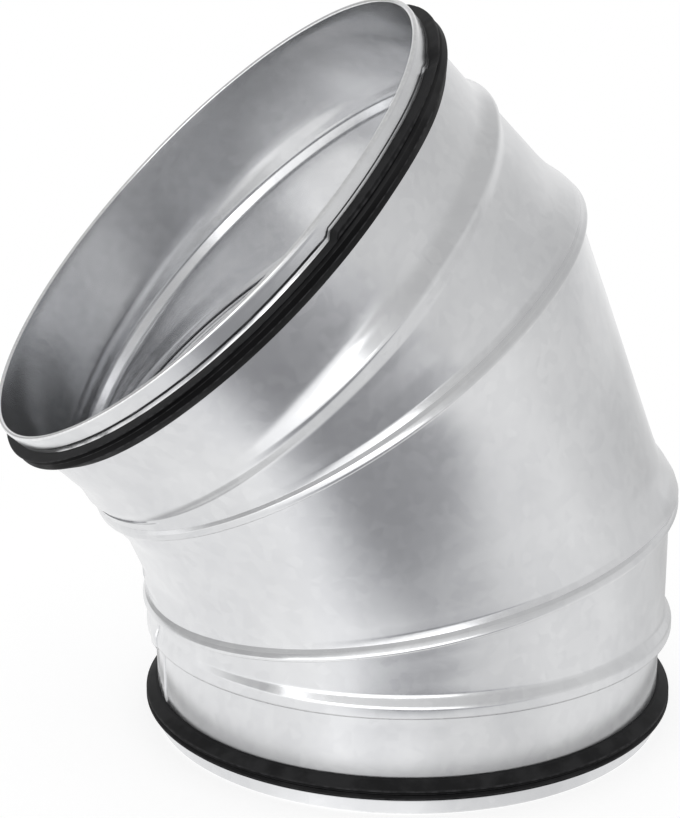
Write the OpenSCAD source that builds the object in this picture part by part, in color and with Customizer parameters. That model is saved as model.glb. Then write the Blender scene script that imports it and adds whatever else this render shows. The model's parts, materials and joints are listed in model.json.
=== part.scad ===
// Segmented elbow for round ventilation duct, of galvanised sheet steel.
// Three gores are joined by two lock seams, and each end is a spigot with a rubber lip gasket.
// The elbow stands on its lower end. The bend lies in the XZ plane and turns towards -X.
// The origin is the centre of the lower rim. Lengths are in millimetres, angles in degrees.

/* [Bend] */
// Outside diameter of the gores, the nominal size of the duct
duct_d = 250; // [160:5:400]
// Angle that the elbow turns the duct through
bend_angle = 45; // [30:1:60]
// Radius of the bend, at the duct's centreline
bend_r = 250; // [240:5:400]
// Length of plain wall between the stop bead and the seam's flare, at the throat
throat_l = 1.8; // [1:0.1:40]

/* [Sheet] */
// Thickness of the sheet
sheet_t = 0.7; // [0.5:0.05:1]
// Width of the lap where each gore's sheet closes, along the throat
lap_w = 8; // [5:0.5:12]
// Distance between the end of the lap's raised edge and the gasket
lap_gap = 2; // [1:0.5:5]

/* [Spigot] */
// Length of the spigot, from the rim to the stop bead
spigot_l = 44.5; // [30:0.5:60]
// How far the spigot's wall lies inside the gore's wall
spigot_drop = 2; // [1.8:0.1:3]
// Height of the stop bead over the gore's wall
bead_h = 2.3; // [1:0.1:4]
// Axial width of the bead's steep face, which the duct stops against
bead_face_w = 2; // [1.5:0.5:5]
// Axial width of the bead's flat crest
bead_crest_w = 3; // [1:0.5:5]
// Axial width of the bead's soft back
bead_back_w = 8; // [6:0.5:12]

/* [Hem] */
// Length of the sheet that is folded back over the gasket's foot
hem_l = 8.2; // [6:0.1:10]

/* [Lock seam] */
// Height of the seam's crest over the wall
lock_h = 3.2; // [3:0.1:5]
// Distance from the mitre plane at which the wall starts to flare out to the seam
flare_l = 5.5; // [4:0.1:7]
// Height over the wall at which the flare meets the fold
flare_h = 2.4; // [1.8:0.1:2.6]
// Distance from the mitre plane to the fold's step, where the flare ends
step_l = 2; // [1.6:0.1:2.6]
// How far the crest reaches past the mitre plane, towards the flare
crest_l = 0.8; // [0.4:0.1:1.2]
// Length of the hook's leg that is turned down behind the flange
hook_l = 2.2; // [1.5:0.1:2.2]
// Length of the flange's edge that is doubled back
return_l = 1.6; // [1.2:0.1:1.8]
// Gap inside the doubled flange
return_gap = 0.7; // [0.3:0.1:1]
// Play between the flange and the hook
lock_play = 0.05; // [0.02:0.01:0.2]

/* [Gasket] */
// Thickness of the gasket's foot, which the hem clamps
foot_t = 0.8; // [0.6:0.1:1.2]
// Play on each side of the foot, between the two sheets
foot_play = 0.05; // [0.02:0.01:0.1]
// Height of the gasket's body over the spigot
body_h = 2.8; // [2.4:0.1:3]
// Axial length of the gasket's body, behind the hem
body_l = 9.4; // [8:0.1:12]
// Axial length of the slope at the body's back
body_back_l = 1; // [0.5:0.1:2]
// Height of the two free lips over the spigot
lip_h = 6.2; // [5:0.1:9]
// Thickness of each lip at its root
lip_root = 3.2; // [1.5:0.1:3.6]
// Thickness of each lip at its tip
lip_tip = 1.2; // [0.6:0.1:1.4]
// How far each lip's front leans away from the rim
lip_lean = 0.6; // [0:0.1:3]

/* [Hidden] */
$fn = 180;

// Each mitre turns the duct by twice this angle
mitre = bend_angle/4;
gore_r = duct_d/2;
spigot_r = gore_r - spigot_drop;
bead_r = gore_r + bead_h;
bead_top_z = spigot_l + bead_face_w + bead_crest_w;
bead_foot_z = bead_top_z + bead_back_w;
middle_gore_l = 2*bend_r*tan(mitre);
// An end gore is as long as its throat needs, where the mitre comes closest to the bead
end_gore_l = bead_foot_z + throat_l + flare_l/cos(mitre) + gore_r*tan(mitre);
// The hem's two sheets stand apart by the foot and its play
hem_gap = foot_t + 2*foot_play;
fold_r = hem_gap/2;
fold_step = 18;
fold_z = fold_r + sheet_t/cos(fold_step/2);
// Overshoot of a cut past the faces that it trims
overshoot = 1;
// The flared edge is a little thinner than the sheet, and starts inside the end of the wall,
// below the wall's outer face. Its crest has chamfered corners.
flare_inset = 0.08;
flare_thinning = 0.2;
flare_t = sheet_t - flare_thinning;
wall_end_s = flare_l + overshoot/2;
corner_l = 0.7*flare_t;
// Steps around the duct in which the flared edge is made, more on a wider duct,
// and how far the middle of a step falls inside the circle
flare_steps = 4*round(1.3*sqrt(duct_d));
lock_r = gore_r + lock_h;
chord_drop = lock_r*(1 - cos(180/flare_steps));
flange_w = 2*sheet_t + return_gap;
flange_r = lock_r - flare_t - chord_drop - lock_play;
// Angle of the sector that the lap covers, and where it ends short of the gasket
lap_a = 360*lap_w/(PI*duct_d);
lap_end_z = hem_l + foot_play + body_l + lap_gap;
// Reach of the cutting slabs, clear of the part on every side
reach = 2*lock_r;

// Normals and offsets of a path, with the sheet on the path's right
function unit(v) = v/norm(v);
function right_of(d) = [d[1], -d[0]];
function side_at(path, i) =
    let (last = len(path) - 1,
         before = unit(path[max(i, 1)] - path[max(i, 1) - 1]),
         after = unit(path[min(i, last - 1) + 1] - path[min(i, last - 1)]),
         mid = unit(right_of(before) + right_of(after)))
    mid/(mid*right_of(before));
function shifted(path, d) = [for (i = [0:len(path) - 1]) path[i] + d*side_at(path, i)];
function reversed(path) = [for (i = [len(path) - 1:-1:0]) path[i]];
function strip(path, d) = concat(path, reversed(shifted(path, d)));

// Outer face of an end gore as [radius, height], from the mitre down to the fold
bead_back = [for (a = [0:20:180]) [gore_r + bead_h*(1 - cos(a))/2, bead_foot_z - bead_back_w*a/180]];
bead_face = [for (a = [90:-15:0]) [spigot_r + (bead_r - spigot_r)*sin(a), spigot_l + bead_face_w*(1 - cos(a))]];
fold = [for (a = [180:fold_step:360]) [spigot_r + fold_r + fold_r*cos(a), fold_z + fold_r*sin(a)]];
outer_face = concat([[gore_r, end_gore_l + reach/2]], bead_back, bead_face);

// Outer face of a gore's flared edge as [radius, distance above the mitre plane]: the flare,
// a step, the crest, and the hook that is turned down behind the flange
hook_s = -flange_w - lock_play - flare_t;
flare = [for (t = [0:0.25:1]) [gore_r - flare_inset + (flare_h + flare_inset)*t*t, flare_l + (step_l - flare_l)*t]];
crest = [[lock_r - corner_l, crest_l], [lock_r, crest_l - corner_l], [lock_r, hook_s + corner_l],
         [lock_r - corner_l, hook_s], [lock_r - hook_l, hook_s]];
flared_face = concat([[gore_r - flare_inset, wall_end_s + overshoot]], flare, crest);

// Slab parallel to a mitre plane, between two distances along the plane's normal.
// The plane crosses the gore's axis at z and leans with it.
module mitre_slab(z, lean, low, high) {
    translate([0, 0, z]) rotate([0, lean, 0])
        translate([-reach, -reach, low]) cube([2*reach, 2*reach, high - low]);
}

// Round bar along the gore's axis, through the mitre that crosses it at z
module bar(z, r) {
    translate([0, 0, z]) cylinder(r = r, h = 2*reach, center = true);
}

// Male half of a lock seam, below the mitre plane: the wall turned out and doubled back
module flange(z) {
    difference() {
        intersection() {
            bar(z, flange_r);
            mitre_slab(z, -mitre, -flange_w, 0);
        }
        intersection() {
            bar(z, flange_r - sheet_t);
            mitre_slab(z, -mitre, sheet_t - flange_w, -sheet_t);
        }
        intersection() {
            bar(z, flange_r - return_l);
            mitre_slab(z, -mitre, sheet_t - flange_w, overshoot);
        }
        bar(z, gore_r - sheet_t);
    }
}

// Point of the flared edge at radius r, turned by a around the duct, s above the mitre plane.
// Below the plane it follows the axis of the gore that it hooks on.
function flared_point(r, a, s) =
    [r*cos(a), r*sin(a), -r*cos(a)*tan(mitre)]
    + s/cos(mitre)*(s < 0 ? [sin(2*mitre), 0, cos(2*mitre)] : [0, 0, 1]);

// Female half of a lock seam, at the gore's foot: the wall flares out over the flange,
// goes around its edge and turns down behind it. It follows the ellipse of the mitre.
module flared_edge() {
    section = strip(flared_face, flare_t);
    n = len(section);
    points = [for (i = [0:flare_steps - 1]) for (p = section) flared_point(p[0], 360*i/flare_steps, p[1])];
    faces = [for (i = [0:flare_steps - 1]) for (j = [0:n - 1])
                let (a = i*n, b = (i + 1)%flare_steps*n, k = (j + 1)%n)
                each [[a + j, b + j, b + k], [a + j, b + k, a + k]]];
    polyhedron(points = points, faces = faces);
}

// Raised edge of the lap, which follows the gore's outer face along the throat.
// It starts at the middle of the sheet, so that it is one with the wall.
module lap(face) {
    rotate([0, 0, 180 - lap_a/2]) rotate_extrude(angle = lap_a)
        polygon(strip(shifted(face, sheet_t/2), -1.5*sheet_t));
}

// End gore's sheet from the rim at z = 0 up past the mitre plane, with its hem and bead
module end_sheet() {
    rotate_extrude() polygon(strip(concat(outer_face, fold, [[spigot_r + hem_gap, hem_l]]), sheet_t));
    lap(concat(outer_face, [[spigot_r, lap_end_z]]));
}

module lower_gore() {
    color([0.74, 0.75, 0.76]) {
        difference() {
            end_sheet();
            mitre_slab(end_gore_l, -mitre, sheet_t - flange_w, reach);
        }
        flange(end_gore_l);
    }
}

module middle_gore() {
    color([0.70, 0.71, 0.72]) on_middle() {
        difference() {
            union() {
                rotate_extrude() translate([gore_r - sheet_t, -gore_r]) square([sheet_t, middle_gore_l + duct_d]);
                lap([[gore_r, middle_gore_l + gore_r], [gore_r, -gore_r]]);
            }
            mitre_slab(0, mitre, -reach, wall_end_s);
            mitre_slab(middle_gore_l, -mitre, sheet_t - flange_w, reach);
        }
        flange(middle_gore_l);
        flared_edge();
    }
}

module upper_gore() {
    color([0.74, 0.75, 0.76]) {
        difference() {
            on_upper_end() end_sheet();
            on_upper() mitre_slab(0, mitre, -reach, wall_end_s);
        }
        on_upper() flared_edge();
    }
}

// Section of the gasket as [radius, height]: a foot under the hem and a body with two lips
module gasket_section() {
    foot_in = spigot_r + foot_play;
    body_out = spigot_r + body_h;
    body_z = hem_l + foot_play;
    back_z = body_z + body_l - body_back_l;
    lip_pitch = back_z - body_z - lip_root - foot_play;
    translate([foot_in, fold_z + fold_r]) square([foot_t, back_z - fold_z - fold_r]);
    polygon([[foot_in, body_z], [body_out, body_z], [body_out, back_z], [foot_in, body_z + body_l]]);
    for (i = [0:1])
        translate([0, body_z + foot_play + i*lip_pitch])
            polygon([[body_out - foot_t, 0], [spigot_r + lip_h, lip_lean], [spigot_r + lip_h, lip_lean + lip_tip],
                     [body_out - foot_t, lip_root]]);
}

module gasket() {
    color([0.09, 0.09, 0.1]) rotate_extrude() gasket_section();
}

module lower_gasket() {
    gasket();
}

module upper_gasket() {
    on_upper_end() gasket();
}

// Places each child in the frame of the middle gore, of the upper gore or of the upper rim
module on_middle() {
    translate([0, 0, end_gore_l]) rotate([0, -2*mitre, 0]) children();
}

module on_upper() {
    on_middle() translate([0, 0, middle_gore_l]) rotate([0, -2*mitre, 0]) children();
}

module on_upper_end() {
    on_upper() translate([0, 0, end_gore_l]) mirror([0, 0, 1]) children();
}

lower_gore();
middle_gore();
upper_gore();
lower_gasket();
upper_gasket();
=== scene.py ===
import bpy
import json
from mathutils import Matrix, Vector, noise
from math import atan2, ceil, cos, pi, radians, sin, tan


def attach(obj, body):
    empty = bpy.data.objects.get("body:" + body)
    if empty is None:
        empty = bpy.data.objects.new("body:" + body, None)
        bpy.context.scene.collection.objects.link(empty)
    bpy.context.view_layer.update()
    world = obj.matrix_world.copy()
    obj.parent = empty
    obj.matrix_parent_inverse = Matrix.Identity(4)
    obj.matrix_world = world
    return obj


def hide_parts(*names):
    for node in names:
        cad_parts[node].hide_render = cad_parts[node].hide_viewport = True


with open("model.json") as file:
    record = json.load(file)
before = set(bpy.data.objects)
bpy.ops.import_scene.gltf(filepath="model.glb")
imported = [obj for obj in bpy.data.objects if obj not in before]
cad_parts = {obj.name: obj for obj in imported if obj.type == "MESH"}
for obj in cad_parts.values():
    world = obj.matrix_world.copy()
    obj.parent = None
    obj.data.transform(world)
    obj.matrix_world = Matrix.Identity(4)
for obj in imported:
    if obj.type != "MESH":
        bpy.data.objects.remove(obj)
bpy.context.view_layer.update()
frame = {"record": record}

# Lengths are in millimetres until a mesh is made
mm = 0.001
arcStep = radians(15)

duct = dict(wall=125.0, spigot=123.0, sheet=0.7, mitre=radians(45/4), bendRadius=250.0)
mitre = duct["mitre"]
middleLength = 2*duct["bendRadius"]*tan(mitre)
rims = {m["name"]: Vector(m["pos_m"])/mm for m in frame["record"]["mounts"]}
endLength = (rims["upper_spigot"].z - middleLength*cos(2*mitre))/(1 + cos(4*mitre))

# Paths in a plane as [radius, height], with the sheet on the path's right

def heading(a, b):
    return (b - a).normalized()

def rightOf(way):
    return Vector((way.y, -way.x))

# Arc that rounds the corner b between a and c
def corner(a, b, c, radius):
    before, after = heading(a, b), heading(b, c)
    turn = atan2(before.cross(after), before.dot(after))
    start = b - before*radius*tan(abs(turn)/2)
    centre = start - rightOf(before)*radius*(1 if turn > 0 else -1)
    count = max(2, ceil(abs(turn)/arcStep))
    return [centre + Matrix.Rotation(turn*k/count, 2) @ (start - centre) for k in range(count + 1)]

# Leaves out points that fall on the one before
def distinct(path):
    return [p for i, p in enumerate(path) if (p - path[i - 1]).length > 0.001]

# Each corner is (radius, height) or (radius, height, rounding)
def rounded(corners):
    points = [Vector(c[:2]) for c in corners]
    out = [points[0]]
    for i in range(1, len(points) - 1):
        if len(corners[i]) == 3:
            out += corner(points[i - 1], points[i], points[i + 1], corners[i][2])
        else:
            out.append(points[i])
    return distinct(out + [points[-1]])

# Mitred normals on a path's right
def sides(path, closed=False):
    last = len(path) - 1
    out = []
    for i, p in enumerate(path):
        before = heading(path[i - 1], p) if closed or i > 0 else heading(p, path[1])
        after = heading(p, path[(i + 1) % len(path)]) if closed or i < last else before
        middle = (rightOf(before) + rightOf(after)).normalized()
        out.append(middle/middle.dot(rightOf(before)))
    return out

# Points along straight stretches that are longer than a step
def filled(path, step):
    out = [path[0]]
    for a, b in zip(path, path[1:]):
        count = max(1, ceil((b - a).length/step))
        out += [a.lerp(b, k/count) for k in range(1, count + 1)]
    return out

# Closed section of a sheet: its outer face, then its inner face back again.
# Each entry is a point, the outer face's outward normal there, and 1 on the outer face.
def sheetSection(path):
    normals = sides(path)
    outer = [(p, -n, 1) for p, n in zip(path, normals)]
    inner = [(p + duct["sheet"]*n, -n, 0) for p, n in zip(path, normals)]
    return outer + inner[::-1]

def smoothstep(low, high, x):
    t = min(max((x - low)/(high - low), 0), 1)
    return t*t*(3 - 2*t)

# A gore's frame: its foot plane and its top plane lean by the given angles.
# A height is measured from the foot plane up to foot, from the top plane down to top,
# and stretches with the gore in between.
class Gore:
    def __init__(self, turn, origin, length, footLean, topLean, foot, top):
        self.matrix = Matrix.Translation(origin) @ Matrix.Rotation(-turn, 4, "Y")
        self.length, self.footLean, self.topLean = length, footLean, topLean
        self.foot, self.top = foot, top

    def above(self, x, lean, level, offset):
        return Vector((0, 0, level + x*tan(lean) + offset/cos(lean)))

    def place(self, r, angle, u):
        ring = Vector((r*cos(angle), r*sin(angle), 0))
        low = self.above(ring.x, -self.footLean, 0, min(u, self.foot))
        high = self.above(ring.x, self.topLean, self.length, max(u, self.top) - self.length)
        if u < 0 and self.footLean:
            lean = self.footLean
            low = self.above(ring.x, -lean, 0, 0) + u/cos(lean)*Vector((sin(2*lean), 0, cos(2*lean)))
        share = min(max((u - self.foot)/(self.top - self.foot), 0), 1)
        return self.matrix @ (ring + low.lerp(high, share))

# Corners run from the wall to the spigot. A bead stands higher at the outer bend and lower
# at the throat, by these amounts.
lowerBead = dict(low=44.5, crest=127.6, crestAt=47.0, outer=0.9, throat=1.2, reach=58.5,
                 corners=[(125.0, 54.4, 5), (127.6, 49.9, 4), (127.6, 44.5, 1.5), (123.0, 44.5, 1.0)])
upperBead = dict(low=41.0, crest=126.6, crestAt=51.0, outer=0.5, throat=1.5, reach=58.5,
                 corners=[(125.0, 73.0, 60), (124.3, 57.2, 5), (126.6, 51.6, 4), (123.0, 44.2, 14)])
middleOrigin = Vector((0, 0, endLength))
upperOrigin = middleOrigin + middleLength*Vector((-sin(2*mitre), 0, cos(2*mitre)))
lowerFoot, upperFoot, seamTop = 4.0, 8.0, 6.0
lowerGore = Gore(0, Vector(), endLength, 0, mitre, lowerBead["reach"], endLength - seamTop)
middleGore = Gore(2*mitre, middleOrigin, middleLength, mitre, mitre, lowerFoot, middleLength - seamTop)
upperGore = Gore(4*mitre, upperOrigin, endLength, mitre, 0, upperFoot, endLength - upperBead["reach"])

# Angles around the duct, with close pairs at the lap's two edges
def turns(steps, lap=None):
    angles = [2*pi*k/steps for k in range(steps)]
    if lap:
        edges = [lap["angle"] + side*lap["half"] for side in (-1, 1)]
        angles = [a for a in angles if min(abs(a - e) for e in edges) > pi/steps]
        angles += [e + shift for e in edges for shift in (-lap["blend"], 0, lap["blend"])]
    return sorted(angles)

# Curvature at each point of a closed section, from -1 in a tight hollow to 1 on a tight edge
def bends(section):
    points = [entry[0] for entry in section]
    spin = 1 if sum(a.cross(b) for a, b in zip(points, points[1:] + points[:1])) > 0 else -1
    out = []
    for i, p in enumerate(points):
        before, after = p - points[i - 1], points[(i + 1) % len(points)] - p
        turn = atan2(before.cross(after), before.dot(after))
        out.append(min(max(spin*2*turn/(before.length + after.length), -1), 1))
    return out

# Mesh from a closed section that is carried round the duct
def sweep(name, section, angles, place, node):
    verts = [place(entry, a)*mm for a in angles for entry in section]
    wide, rows = len(section), len(angles)
    flip = sum(a[0].cross(b[0]) for a, b in zip(section, section[1:] + section[:1])) < 0
    faces = []
    for i in range(rows):
        for j in range(wide):
            here, there = i*wide, (i + 1) % rows*wide
            after = (j + 1) % wide
            quad = (here + j, there + j, there + after, here + after)
            faces.append(quad[::-1] if flip else quad)
    mesh = bpy.data.meshes.new(name)
    mesh.from_pydata(verts, [], faces)
    mesh.attributes.new("bend", "FLOAT", "POINT").data.foreach_set("value", bends(section)*rows)
    mesh.polygons.foreach_set("use_smooth", [True]*len(faces))
    mesh.set_sharp_from_angle(angle=radians(40))
    piece = bpy.data.objects.new(name, mesh)
    bpy.context.collection.objects.link(piece)
    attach(piece, "root")
    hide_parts(node)
    return piece

# Sections of the sheet

# A seam's tip is its lowest edge, from the mitre plane up. Each seam sits a little off that plane.
lock = dict(crest=3.2, hook=2.2, flange=1.85, width=1.85, flangeTop=2.6)
lowerSeam = dict(tip=-4.3, bulge=0.85, swell=3.3)
upperSeam = dict(tip=-0.2, bulge=0.6, swell=2.9)
hem = dict(gap=0.9, length=8.2, crimp=6.9, crimpDepth=0.1)

# Male half of a lock seam, from the edge of its doubled flange down to the wall
def flangePath(seam):
    wall = duct["wall"]
    edge, high = wall + lock["flange"], seam["tip"] + lock["flangeTop"]
    return [(wall + 0.8, high), (edge, high, 0.6), (edge, high - lock["width"], 0.6),
            (wall, high - lock["width"], 0.3)]

# Female half, from the wall out over the flange and back under it
def flarePath(seam):
    wall, tip = duct["wall"], seam["tip"]
    crest = wall + lock["crest"]
    return [(wall, tip + 7.6, 4), (wall + 0.85, tip + 4.8, 0.4), (wall + 2.3, tip + 3.5, 0.6),
            (crest, tip + 1.5, 2.6), (crest, tip, 0.8), (crest - lock["hook"], tip)]

# Stop bead, spigot and hem, in heights over the rim
def spigotPath(bead):
    spigot, gap = duct["spigot"], hem["gap"]
    turn = gap/2 + duct["sheet"] + 0.02
    inner = spigot + gap
    return bead["corners"] + [
        (spigot, turn - gap/2, gap/2), (inner, turn - gap/2, gap/2), (inner, 2.0, 0.6),
        (inner - 0.05, 3.0, 0.6), (inner - 0.1, hem["crimp"] - 1, 1.5),
        (inner - 0.1 - hem["crimpDepth"], hem["crimp"], 1.2), (inner - 0.1, hem["length"])]

def goreSection(corners):
    return sheetSection(filled(rounded(corners), 5))

# Raised strip where each sheet laps itself, at the throat
def lapAt(degrees):
    return dict(angle=radians(degrees), half=radians(1.83), blend=radians(0.12))

def lapRise(lap, angle, u, low, high):
    off = abs(angle - lap["angle"]) - lap["half"]
    across = 1 - smoothstep(-lap["blend"], lap["blend"], off)
    along = smoothstep(low - 0.4, low + 0.4, u)*(1 - smoothstep(high - 1.5, high, u))
    return duct["sheet"]*across*along

# Slow waves of the rolled sheet, which fade out at its stiff edges
def waviness(point, u, low, high):
    fade = smoothstep(low, low + 8, u)*(1 - smoothstep(high - 8, high, u))
    wave = fade*(0.11*noise.noise(point/38) + 0.035*noise.noise(point/15 + Vector((7, 3, 5))))
    return wave + (1 - fade)*0.03*noise.noise(point/6)

# How much further out a bead stands at an angle
beadRun = dict(top=70, throatAt=radians(195), throatHalf=radians(32), outerAt=radians(335))

def swelling(bead, skin, angle, height):
    if not bead["low"] - 3 < height < beadRun["top"]:
        return 0
    low = duct["spigot"] if height < bead["crestAt"] else duct["wall"]
    share = min(max((skin.x - low)/(bead["crest"] - low), 0), 1)
    off = (angle - beadRun["throatAt"])/beadRun["throatHalf"]
    return share*(bead["outer"]*max(0, cos(angle - beadRun["outerAt"])) - bead["throat"]/(1 + off**4))

# The upper hem has a crimped strip along its edge on one side only. Angles in degrees.
hemEdge = dict(start=200, end=274.3, depth=0.4, longer=0.9, shorter=1.2, tabFrom=316.5, tabTo=321.5, tab=1.3,
               rough=0.25, roughFrom=300, roughTo=318, late=1.1, lateFrom=290, lateTo=313)

def window(low, high, soft, x):
    return smoothstep(low - soft, low + soft, x)*(1 - smoothstep(high - soft, high + soft, x))

# How far the edge of the upper hem comes short of its length
def shortened(angle):
    turn = angle*180/pi
    side = smoothstep(hemEdge["end"] - 0.4, hemEdge["end"] + 0.4, turn)
    tab = window(hemEdge["tabFrom"], hemEdge["tabTo"], 0.8, turn)
    rough = hemEdge["rough"]*noise.noise(Vector((turn/1.7, 0, 3)))
    rough *= smoothstep(hemEdge["roughFrom"], hemEdge["roughTo"], turn)
    late = hemEdge["late"]*smoothstep(hemEdge["lateFrom"], hemEdge["lateTo"], turn)
    step = side*(hemEdge["shorter"] + hemEdge["longer"] + rough)
    return step - late - hemEdge["longer"] - hemEdge["tab"]*tab

def crimped(angle):
    turn = angle*180/pi
    patch = smoothstep(-0.25, 0.15, noise.noise(Vector((turn/4.5, 7, 0))))
    return hemEdge["depth"]*window(hemEdge["start"], hemEdge["end"] - 1.5, 1.5, turn)*(0.35 + 0.65*patch)

# At the outer bend the sheet swells towards a lock seam: by its bulge on both sides, and above
# the seam also until it stands out by its swell
def seamSwell(seam, skin, angle, above):
    bulge, tip = seam["bulge"]*(1 + cos(angle))/2, seam["tip"]
    if above < 0:
        return bulge*(1 - smoothstep(2 - tip, 10 - tip, -above))
    swell = seam["swell"]*(1 - smoothstep(4, 21, above))*smoothstep(tip + 0.2, tip + 1.4, above)
    extra = max(0, swell - max(0, skin.x - duct["wall"]))*smoothstep(0.3, 0.9, cos(angle))
    return bulge*(1 - smoothstep(3, 24, above)) + extra

# Height of a point of a gore over its foot plane, and its depth under its top plane
def fromPlanes(gore, angle, u):
    x = duct["wall"]*cos(angle)
    height = (gore.matrix.inverted() @ gore.place(duct["wall"], angle, u)).z
    footPlane = gore.above(x, -gore.footLean, 0, 0).z
    topPlane = gore.above(x, gore.topLean, gore.length, 0).z
    return height - footPlane, topPlane - height

# Where the sheet is drawn in at the throat of the middle gore, between its two seams
throat = dict(depth=2.6, half=radians(55), low=4, lowEnd=14, high=5, highEnd=16)

def drawnIn(angle, above, below):
    around = 1 - smoothstep(0.2, 1, abs(angle - pi)/throat["half"])
    along = smoothstep(throat["low"], throat["lowEnd"], above)
    along *= smoothstep(throat["high"], throat["highEnd"], below)
    return throat["depth"]*around*along

# A gore's shape beyond its section, as (outward, along) shifts
def lowerShape(skin, angle):
    above, below = fromPlanes(lowerGore, angle, skin.y)
    out = seamSwell(lowerSeam, skin, angle, min(-below, -0.001))
    return out + swelling(lowerBead, skin, angle, skin.y), 0

def middleShape(skin, angle):
    above, below = fromPlanes(middleGore, angle, skin.y)
    if above < below:
        return seamSwell(lowerSeam, skin, angle, above) - drawnIn(angle, above, below), 0
    return seamSwell(upperSeam, skin, angle, min(-below, -0.001)) - drawnIn(angle, above, below), 0

def upperShape(skin, angle):
    height = endLength - skin.y
    out = swelling(upperBead, skin, angle, height)
    if skin.x > duct["spigot"] + 0.2 and height < 9:
        pinch = smoothstep(6.0, 7.1, height)*(1 - smoothstep(7.1, 8.1, height))
        return out - crimped(angle)*pinch, shortened(angle)*smoothstep(3, hem["length"], height)
    above, below = fromPlanes(upperGore, angle, skin.y)
    return out + seamSwell(upperSeam, skin, angle, above), 0

def makeGore(name, gore, section, lap, lapEnds, waveEnds, shape):
    def place(entry, angle):
        point, normal, outer = entry
        rise = lapRise(lap, angle, point.y, *lapEnds)*outer
        flat = point + normal*rise
        skin = point if outer else point + duct["sheet"]*normal
        out, along = shape(skin, angle)
        wave = waviness(gore.place(flat.x, angle, flat.y), point.y, *waveEnds)
        return gore.place(flat.x + wave + out, angle, flat.y + along)
    return sweep(name, section, turns(300, lap), place, name.replace("_sheet", ""))

def flipped(corners, length):
    return [(c[0], length - c[1], *c[2:]) for c in corners]

def raised(corners, length):
    return [(c[0], length + c[1], *c[2:]) for c in corners]

lapStart = 19.6
lowerSection = goreSection(raised(flangePath(lowerSeam), endLength) + spigotPath(lowerBead))
lowerSheet = makeGore("lower_gore_sheet", lowerGore, lowerSection, lapAt(176.5),
                      (lapStart, endLength - 5), (lowerBead["reach"] - 2, endLength - 4), lowerShape)
middleSection = goreSection(raised(flangePath(upperSeam), middleLength) + flarePath(lowerSeam))
middleSheet = makeGore("middle_gore_sheet", middleGore, middleSection, lapAt(164),
                       (4, middleLength - 1), (5, middleLength - 1), middleShape)
# The upper gore's path runs from its hem to its flare, with the sheet on the same side
upperSection = goreSection(flipped(spigotPath(upperBead)[::-1], endLength) + flarePath(upperSeam))
upperSheet = makeGore("upper_gore_sheet", upperGore, upperSection, lapAt(164),
                      (8, endLength - lapStart), (9, endLength - upperBead["reach"] + 2), upperShape)
print("gores made")

# Gaskets

# The far slope of the body ends a little higher or lower on each
def gasketCorners(far):
    foot = duct["spigot"] + 0.05
    return [(foot, 1.9, 0.1), (foot + 0.45, 1.9, 0.1), (foot + 0.45, 8.28, 0.05), (125.0, 8.35, 0.1),
            (128.95, 8.7, 0.5), (129.1, 9.7, 0.4), (127.6, 10.6, 0.3), (128.8, 11.7, 0.45),
            (129.1, 13.6 + far/2, 0.9), (124.4, 17.2 + far, 0.9), (foot, 17.45 + far, 0.2)]

def closedRounded(corners):
    points = [Vector(c[:2]) for c in corners]
    out = []
    for i, c in enumerate(corners):
        out += corner(points[i - 1], points[i], points[(i + 1) % len(points)], c[2])
    return distinct(out)

# The upper gasket is wider at the two ends of what the photo shows
def spread(angle):
    turn = angle*180/pi
    return 1.2*smoothstep(285, 312, turn) + 1.0*(1 - smoothstep(205, 245, turn))

def makeGasket(name, node, gore, far, height, reach, widen):
    section = [(p, Vector((0, 0)), 1) for p in closedRounded(gasketCorners(far))]
    def place(entry, angle):
        p = entry[0]
        lip = smoothstep(125, 129, p.x)
        wave = 0.16*lip*(noise.noise(Vector((cos(angle), sin(angle), p.y/12))*3) - 1)/2
        near = reach(angle)*(1 - smoothstep(8.8, 10.2, p.y))*smoothstep(7, 8.2, p.y)
        wide = widen(angle)*smoothstep(12.5, 16.5, p.y)
        return gore.place(p.x + wave, angle, height(p.y - near + wide))
    return sweep(name, section, turns(300), place, node)

lowerSeal = makeGasket("lower_gasket_rubber", "lower_gasket", lowerGore, -1.1, lambda z: z,
                       lambda angle: 0, lambda angle: 0)
upperSeal = makeGasket("upper_gasket_rubber", "upper_gasket", upperGore, 1.2,
                       lambda z: endLength - z, shortened, spread)
print("gaskets made")

# Shared effects

def newGroup(name, inputs, outputs):
    group = bpy.data.node_groups.new(name, "ShaderNodeTree")
    for label, kind, value in inputs:
        socket = group.interface.new_socket(name=label, in_out="INPUT", socket_type=kind)
        socket.default_value = value
    for label, kind in outputs:
        group.interface.new_socket(name=label, in_out="OUTPUT", socket_type=kind)
    return group, group.nodes.new("NodeGroupInput"), group.nodes.new("NodeGroupOutput")

# Adds a node to a tree, sets its properties, and fills its inputs with values or links
def add(tree, kind, inputs=(), **props):
    node = tree.nodes.new(kind)
    for key, value in props.items():
        setattr(node, key, value)
    for key, value in dict(inputs).items():
        if isinstance(value, bpy.types.NodeSocket):
            tree.links.new(value, node.inputs[key])
        else:
            node.inputs[key].default_value = value
    return node

def math(tree, operation, a, b=0.0, c=0.0):
    return add(tree, "ShaderNodeMath", {0: a, 1: b, 2: c}, operation=operation).outputs[0]

def ramp(tree, value, low, high, start=0.0, end=1.0, smooth="SMOOTHSTEP"):
    inputs = {"Value": value, "From Min": low, "From Max": high, "To Min": start, "To Max": end}
    return add(tree, "ShaderNodeMapRange", inputs, interpolation_type=smooth).outputs["Result"]

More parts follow.
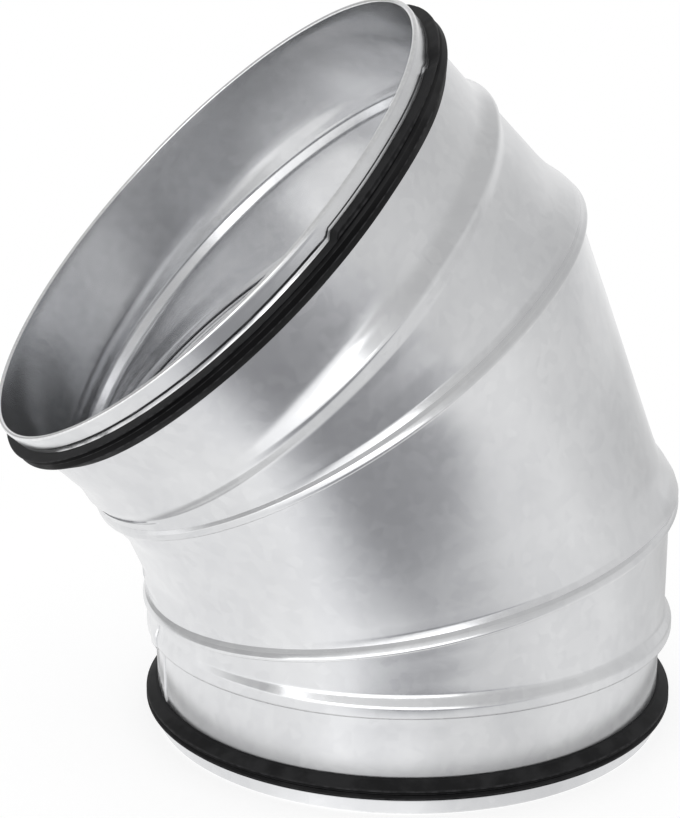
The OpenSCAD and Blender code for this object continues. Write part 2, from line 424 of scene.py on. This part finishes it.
# Zinc crystals, each a little lighter or darker than the next, under slow cloudy patches
def makeSpangle():
    group, source, sink = newGroup("zinc spangle", [
        ("Crystal Size", "NodeSocketFloat", 0.006), ("Cloud Size", "NodeSocketFloat", 0.05)],
        [("Crystal", "NodeSocketFloat"), ("Cloud", "NodeSocketFloat")])
    where = add(group, "ShaderNodeTexCoord").outputs["Object"]
    small = math(group, "DIVIDE", 1.0, source.outputs["Crystal Size"])
    wide = math(group, "DIVIDE", 1.0, source.outputs["Cloud Size"])
    cells = add(group, "ShaderNodeTexVoronoi", {"Vector": where, "Scale": small, "Randomness": 1.0})
    grey = add(group, "ShaderNodeSeparateColor", {"Color": cells.outputs["Color"]}).outputs["Red"]
    look = {"Vector": where, "Scale": wide, "Detail": 3.0, "Roughness": 0.5}
    clouds = add(group, "ShaderNodeTexNoise", look)
    group.links.new(grey, sink.inputs["Crystal"])
    group.links.new(ramp(group, clouds.outputs["Fac"], 0.3, 0.7), sink.inputs["Cloud"])
    return group

# Marks where bends and edges are rubbed bright, and hollows, where the zinc gets dust and painted shade and
# the rubber a lighter bloom
def makeWearAndShade():
    group, source, sink = newGroup("wearAndShade", [
        ("Grain Size", "NodeSocketFloat", 0.002), ("Breakup", "NodeSocketFloat", 0.5)],
        [("Rubbed", "NodeSocketFloat"), ("Hollow Dust And Shade", "NodeSocketFloat")])
    bend = add(group, "ShaderNodeAttribute", attribute_name="bend").outputs["Fac"]
    where = add(group, "ShaderNodeTexCoord").outputs["Object"]
    fine = math(group, "DIVIDE", 1.0, source.outputs["Grain Size"])
    grain = add(group, "ShaderNodeTexNoise", {"Vector": where, "Scale": fine, "Detail": 3.0}).outputs["Fac"]
    patch = ramp(group, grain, 0.35, 0.65)
    keep = math(group, "MULTIPLY_ADD", math(group, "SUBTRACT", patch, 1.0), source.outputs["Breakup"], 1.0)
    rubbed = math(group, "MULTIPLY", ramp(group, bend, 0.25, 0.9), keep)
    # Hollows: dust, and also painted shade on the zinc
    hollowDustAndShade = math(group, "MULTIPLY", ramp(group, bend, -0.2, -0.8), keep)
    group.links.new(rubbed, sink.inputs["Rubbed"])
    group.links.new(hollowDustAndShade, sink.inputs["Hollow Dust And Shade"])
    return group

spangle = makeSpangle()
wearAndShade = makeWearAndShade()

# Materials

def newMaterial(name):
    material = bpy.data.materials.new(name)
    material.use_nodes = True
    return material, material.node_tree, material.node_tree.nodes["Principled BSDF"]

def mixed(tree, factor, a, b):
    node = add(tree, "ShaderNodeMix", {"Factor": factor}, data_type="RGBA")
    for socket, value in ((node.inputs[6], a), (node.inputs[7], b)):
        if isinstance(value, bpy.types.NodeSocket):
            tree.links.new(value, socket)
        else:
            socket.default_value = (*value, 1)
    return node.outputs[2]

# The upper gore gets a copy of the sheet that is slightly darker than the other two, as painted shade
zinc = dict(light=(0.80, 0.805, 0.815), dark=(0.70, 0.705, 0.72), upperPaintedShade=0.95,
            bright=(0.9, 0.9, 0.9), dustAndPaintedLight=(0.42, 0.42, 0.43), rough=0.2, roughCloud=0.04,
            roughCrystal=0.02, crystal=0.0045, cloud=0.045, relief=0.00001)

def makeZinc(name, shade):
    material, tree, shader = newMaterial(name)
    effect = add(tree, "ShaderNodeGroup", node_tree=spangle)
    effect.inputs["Crystal Size"].default_value = zinc["crystal"]
    effect.inputs["Cloud Size"].default_value = zinc["cloud"]
    crystal, cloud = effect.outputs["Crystal"], effect.outputs["Cloud"]
    worn = add(tree, "ShaderNodeGroup", node_tree=wearAndShade)
    worn.inputs["Grain Size"].default_value = 0.0015
    worn.inputs["Breakup"].default_value = 0.6
    tone = math(tree, "MULTIPLY_ADD", crystal, 0.35, math(tree, "MULTIPLY", cloud, 0.65))
    dark, light = (tuple(shade*c for c in zinc[k]) for k in ("dark", "light"))
    colour = mixed(tree, tone, dark, light)
    colour = mixed(tree, math(tree, "MULTIPLY", worn.outputs["Rubbed"], 0.6), colour, zinc["bright"])
    # Hollows get a darker grey: dust, and also painted shade
    colour = mixed(tree, math(tree, "MULTIPLY", worn.outputs["Hollow Dust And Shade"], 0.5), colour, zinc["dustAndPaintedLight"])
    rough = math(tree, "MULTIPLY_ADD", cloud, -zinc["roughCloud"], zinc["rough"] + zinc["roughCloud"]/2)
    rough = math(tree, "MULTIPLY_ADD", crystal, zinc["roughCrystal"], rough)
    rough = math(tree, "MULTIPLY_ADD", worn.outputs["Hollow Dust And Shade"], 0.2, rough)
    where = add(tree, "ShaderNodeTexCoord").outputs["Object"]
    skin = add(tree, "ShaderNodeTexNoise", {"Vector": where, "Scale": 900.0, "Detail": 2.0}).outputs["Fac"]
    bump = add(tree, "ShaderNodeBump", {"Height": skin, "Distance": zinc["relief"], "Strength": 0.5})
    tree.links.new(colour, shader.inputs["Base Color"])
    tree.links.new(rough, shader.inputs["Roughness"])
    tree.links.new(bump.outputs["Normal"], shader.inputs["Normal"])
    shader.inputs["Metallic"].default_value = 1
    return material

rubber = dict(black=(0.0025, 0.0025, 0.0028), grey=(0.005, 0.005, 0.0054), bloom=(0.012, 0.012, 0.013),
              rubbed=(0.045, 0.045, 0.047), dustAndPaintedLight=(0.03, 0.03, 0.031), rough=0.48, shine=0.06)

def makeRubber():
    material, tree, shader = newMaterial("gasket rubber")
    worn = add(tree, "ShaderNodeGroup", node_tree=wearAndShade)
    worn.inputs["Grain Size"].default_value = 0.003
    worn.inputs["Breakup"].default_value = 0.7
    where = add(tree, "ShaderNodeTexCoord").outputs["Object"]
    mottle = add(tree, "ShaderNodeTexNoise", {"Vector": where, "Scale": 60.0, "Detail": 5.0}).outputs["Fac"]
    mottle = ramp(tree, mottle, 0.35, 0.7)
    colour = mixed(tree, mottle, rubber["black"], rubber["grey"])
    colour = mixed(tree, math(tree, "MULTIPLY", worn.outputs["Hollow Dust And Shade"], 0.6), colour, rubber["bloom"])
    colour = mixed(tree, math(tree, "MULTIPLY", worn.outputs["Rubbed"], 0.8), colour, rubber["rubbed"])
    # Faces that look up get a lighter grey: settled dust, and also painted light where light falls on top
    normal = add(tree, "ShaderNodeNewGeometry").outputs["Normal"]
    facing = add(tree, "ShaderNodeSeparateXYZ", {0: normal}).outputs["Z"]
    settledDustAndTopLight = math(tree, "MULTIPLY", ramp(tree, facing, 0.15, 0.6), ramp(tree, mottle, 0.0, 0.8, 0.5, 1.0))
    colour = mixed(tree, settledDustAndTopLight, colour, rubber["dustAndPaintedLight"])
    rough = math(tree, "MULTIPLY_ADD", mottle, 0.16, rubber["rough"])
    pores = add(tree, "ShaderNodeTexNoise", {"Vector": where, "Scale": 1400.0, "Detail": 2.0}).outputs["Fac"]
    bump = add(tree, "ShaderNodeBump", {"Height": pores, "Distance": 0.00004, "Strength": 0.6})
    tree.links.new(colour, shader.inputs["Base Color"])
    tree.links.new(rough, shader.inputs["Roughness"])
    tree.links.new(bump.outputs["Normal"], shader.inputs["Normal"])
    shader.inputs["Specular IOR Level"].default_value = rubber["shine"]
    return material

sheetMaterial = makeZinc("galvanised sheet", 1.0)
# A darker copy of the sheet, as painted shade on the upper gore
shadedSheetMaterial = makeZinc("galvanised sheet with painted shade", zinc["upperPaintedShade"])
rubberMaterial = makeRubber()
for piece in (lowerSheet, middleSheet):
    piece.data.materials.append(sheetMaterial)
upperSheet.data.materials.append(shadedSheetMaterial)
for piece in (lowerSeal, upperSeal):
    piece.data.materials.append(rubberMaterial)
print("materials made")

# Camera

viewer = dict(yaw=22.61, pitch=15.69, roll=-0.95, distance=0.68243, focal=1447.01,
              target=(-0.040, 0.0, 0.120), middle=(328.15, 472.15), picture=(680, 818))

def placeCamera():
    yaw, pitch, roll = (radians(viewer[k]) for k in ("yaw", "pitch", "roll"))
    away = Vector((-sin(yaw)*cos(pitch), -cos(yaw)*cos(pitch), sin(pitch)))
    right = Vector((cos(yaw), -sin(yaw), 0))
    up = away.cross(right)
    side = cos(roll)*right + sin(roll)*up
    top = cos(roll)*up - sin(roll)*right
    data = bpy.data.cameras.new("camera")
    cam = bpy.data.objects.new("camera", data)
    bpy.context.collection.objects.link(cam)
    turn = Matrix((side, top, away)).transposed().to_4x4()
    cam.matrix_world = Matrix.Translation(Vector(viewer["target"]) + viewer["distance"]*away) @ turn
    wide, tall = viewer["picture"]
    data.lens = viewer["focal"]/tall*data.sensor_width
    data.shift_x = -(viewer["middle"][0] - wide/2)/tall
    data.shift_y = (viewer["middle"][1] - tall/2)/tall
    bpy.context.scene.camera = cam

placeCamera()

# Studio. Azimuths are in degrees from the camera's side, -Y, towards +X.
# Stops are (azimuth, tone). Pairs run from where an effect starts to where it is full, in metres on
# the floor, and for zenithRise in the height of a direction, from 0 to 1.
studio = dict(floorSize=8, floorTone=0.35, floorGlow=0.78, paperEnd=(0.25, 0.5),
              floorStops=[(-60, 0.98), (-42, 1.18), (-28, 1.08), (-12, 0.87), (4, 0.81), (24, 0.87),
                          (45, 0.87), (75, 0.74), (100, 0.62), (118, 0.7), (135, 0.98)],
              leftTone=1.3, leftEdge=(-0.26, -0.36), leftReach=(0.35, 0.6),
              dimCorner=(-0.15, -0.10), dimAzimuth=32.8, dimEdge=(0.045, -0.055), dimStart=(-0.01, 0.2),
              dimReach=2.0, dimNear=0.3, dimFar=0.5, dimTint=(0.95, 0.96, 1.0),
              paintedContactShadow=0.45, paintedShadowIn=(0.14, 0.15), paintedShadowOut=(0.17, 0.155),
              skyStops=[(-180, 0.98), (-165, 0.5), (-70, 0.5), (-45, 0.88), (-20, 0.88), (10, 0.68),
                        (40, 0.78), (90, 0.73), (130, 0.88), (150, 0.98)],
              zenith=0.62, zenithRise=(0.2, 0.7),
              boxAzimuth=-40, boxElevation=5, boxDistance=1.5, boxWide=2.1, boxTall=0.4, boxPower=4.4)

def whiteForCamera(tree, lit, seen):
    isCamera = add(tree, "ShaderNodeLightPath").outputs["Is Camera Ray"]
    mix = add(tree, "ShaderNodeMixShader", {0: isCamera})
    tree.links.new(lit, mix.inputs[1])
    tree.links.new(seen, mix.inputs[2])
    return mix.outputs[0]

# Weighted sum of two values
def blend(tree, a, weightA, b, weightB, offset=0.0):
    part = math(tree, "MULTIPLY_ADD", b, weightB, offset)
    return math(tree, "MULTIPLY_ADD", a, weightA, part)

# Follows a list of (azimuth in degrees, tone) around the object
def toneAround(tree, azimuth, stops):
    tone = None
    for (low, before), (high, after) in zip(stops, stops[1:]):
        step = ramp(tree, azimuth, radians(low), radians(high), 0.0, after - before)
        tone = math(tree, "ADD", step, before if tone is None else tone)
    return tone

# The floor's glow that the metal sees, which is painted light: dim on the camera's side, bright to the left
# of that, and a painted contact shadow close to the object. Returns the tone and how dim it is.
def floorTones(tree, x, y, away):
    side = radians(studio["dimAzimuth"])
    cornerX, cornerY = studio["dimCorner"]
    across = blend(tree, x, cos(side), y, sin(side), -cornerX*cos(side) - cornerY*sin(side))
    along = blend(tree, x, sin(side), y, -cos(side), cornerY*cos(side) - cornerX*sin(side))
    azimuth = math(tree, "ARCTAN2", x, math(tree, "MULTIPLY", y, -1.0))
    bright = toneAround(tree, azimuth, studio["floorStops"])
    left = ramp(tree, across, *studio["leftEdge"])
    beside = math(tree, "MULTIPLY", left, ramp(tree, away, *studio["leftReach"]))
    bright = math(tree, "MULTIPLY_ADD", beside, math(tree, "SUBTRACT", studio["leftTone"], bright), bright)
    dim = ramp(tree, along, 0.0, studio["dimReach"], studio["dimNear"], studio["dimFar"], "LINEAR")
    mask = math(tree, "MULTIPLY", ramp(tree, across, *studio["dimEdge"]),
                ramp(tree, along, *studio["dimStart"]))
    mask = math(tree, "MULTIPLY", mask, ramp(tree, across, *reversed(studio["leftEdge"])))
    tone = math(tree, "MULTIPLY_ADD", mask, math(tree, "SUBTRACT", dim, bright), bright)
    # Ring of painted contact shadow close to the object
    ring = math(tree, "MULTIPLY", ramp(tree, away, *studio["paintedShadowIn"]),
                ramp(tree, away, *studio["paintedShadowOut"]))
    paintedContactShadow = math(tree, "MULTIPLY_ADD", ring, studio["paintedContactShadow"] - 1, 1.0)
    return math(tree, "MULTIPLY", tone, paintedContactShadow), mask

# The camera sees white paper with the object's shadow on it, and no horizon
def makeFloor():
    bpy.ops.mesh.primitive_plane_add(size=studio["floorSize"])
    floor = bpy.context.object
    floor.name = "floor"
    material = bpy.data.materials.new("floor")
    material.use_nodes = True
    tree = material.node_tree
    tree.nodes.remove(tree.nodes["Principled BSDF"])
    point = add(tree, "ShaderNodeSeparateXYZ", {0: add(tree, "ShaderNodeNewGeometry").outputs["Position"]})
    x, y = point.outputs["X"], point.outputs["Y"]
    away = math(tree, "SQRT", math(tree, "MULTIPLY_ADD", x, x, math(tree, "MULTIPLY", y, y)))
    tone, dimness = floorTones(tree, x, y, away)
    tint = mixed(tree, dimness, (1, 1, 1), studio["dimTint"])
    # For every ray but the camera's the floor glows with these tones, as painted light
    lit = add(tree, "ShaderNodeEmission", {"Color": tint, "Strength": tone})
    paper = add(tree, "ShaderNodeBsdfDiffuse", {"Color": (*[studio["floorTone"]]*3, 1)})
    glow = add(tree, "ShaderNodeEmission", {"Strength": studio["floorGlow"]})
    near = add(tree, "ShaderNodeAddShader", {0: paper.outputs[0], 1: glow.outputs[0]})
    white = add(tree, "ShaderNodeEmission", {"Strength": 1.0})
    far = ramp(tree, away, *studio["paperEnd"])
    seen = add(tree, "ShaderNodeMixShader", {0: far, 1: near.outputs[0], 2: white.outputs[0]})
    output = tree.nodes["Material Output"]
    tree.links.new(whiteForCamera(tree, lit.outputs[0], seen.outputs[0]), output.inputs["Surface"])
    floor.data.materials.append(material)

def makeWorld():
    world = bpy.data.worlds.new("studio")
    bpy.context.scene.world = world
    world.use_nodes = True
    tree = world.node_tree
    tree.nodes.remove(tree.nodes["Background"])
    way = add(tree, "ShaderNodeSeparateXYZ", {0: add(tree, "ShaderNodeTexCoord").outputs["Generated"]})
    azimuth = math(tree, "ARCTAN2", way.outputs["X"], math(tree, "MULTIPLY", way.outputs["Y"], -1.0))
    belt = toneAround(tree, azimuth, studio["skyStops"])
    rise = ramp(tree, way.outputs["Z"], *studio["zenithRise"])
    tone = math(tree, "MULTIPLY_ADD", rise, math(tree, "SUBTRACT", studio["zenith"], belt), belt)
    lit = add(tree, "ShaderNodeBackground", {"Strength": tone})
    seen = add(tree, "ShaderNodeBackground", {"Color": (1, 1, 1, 1)})
    lit.inputs["Color"].default_value = (1, 1, 1, 1)
    output = tree.nodes["World Output"]
    tree.links.new(whiteForCamera(tree, lit.outputs[0], seen.outputs[0]), output.inputs["Surface"])

def makeSoftbox():
    azimuth, elevation = radians(studio["boxAzimuth"]), radians(studio["boxElevation"])
    way = Vector((sin(azimuth)*cos(elevation), -cos(azimuth)*cos(elevation), sin(elevation)))
    data = bpy.data.lights.new("softbox", "AREA")
    data.shape = "RECTANGLE"
    data.size, data.size_y, data.energy = studio["boxWide"], studio["boxTall"], studio["boxPower"]
    lamp = bpy.data.objects.new("softbox", data)
    lamp.location = Vector(viewer["target"]) + studio["boxDistance"]*way
    lamp.rotation_euler = way.to_track_quat("Z", "Y").to_euler()
    bpy.context.collection.objects.link(lamp)

makeFloor()
makeWorld()
makeSoftbox()
print("studio made")
bpy.context.scene.view_settings.view_transform = "Standard"
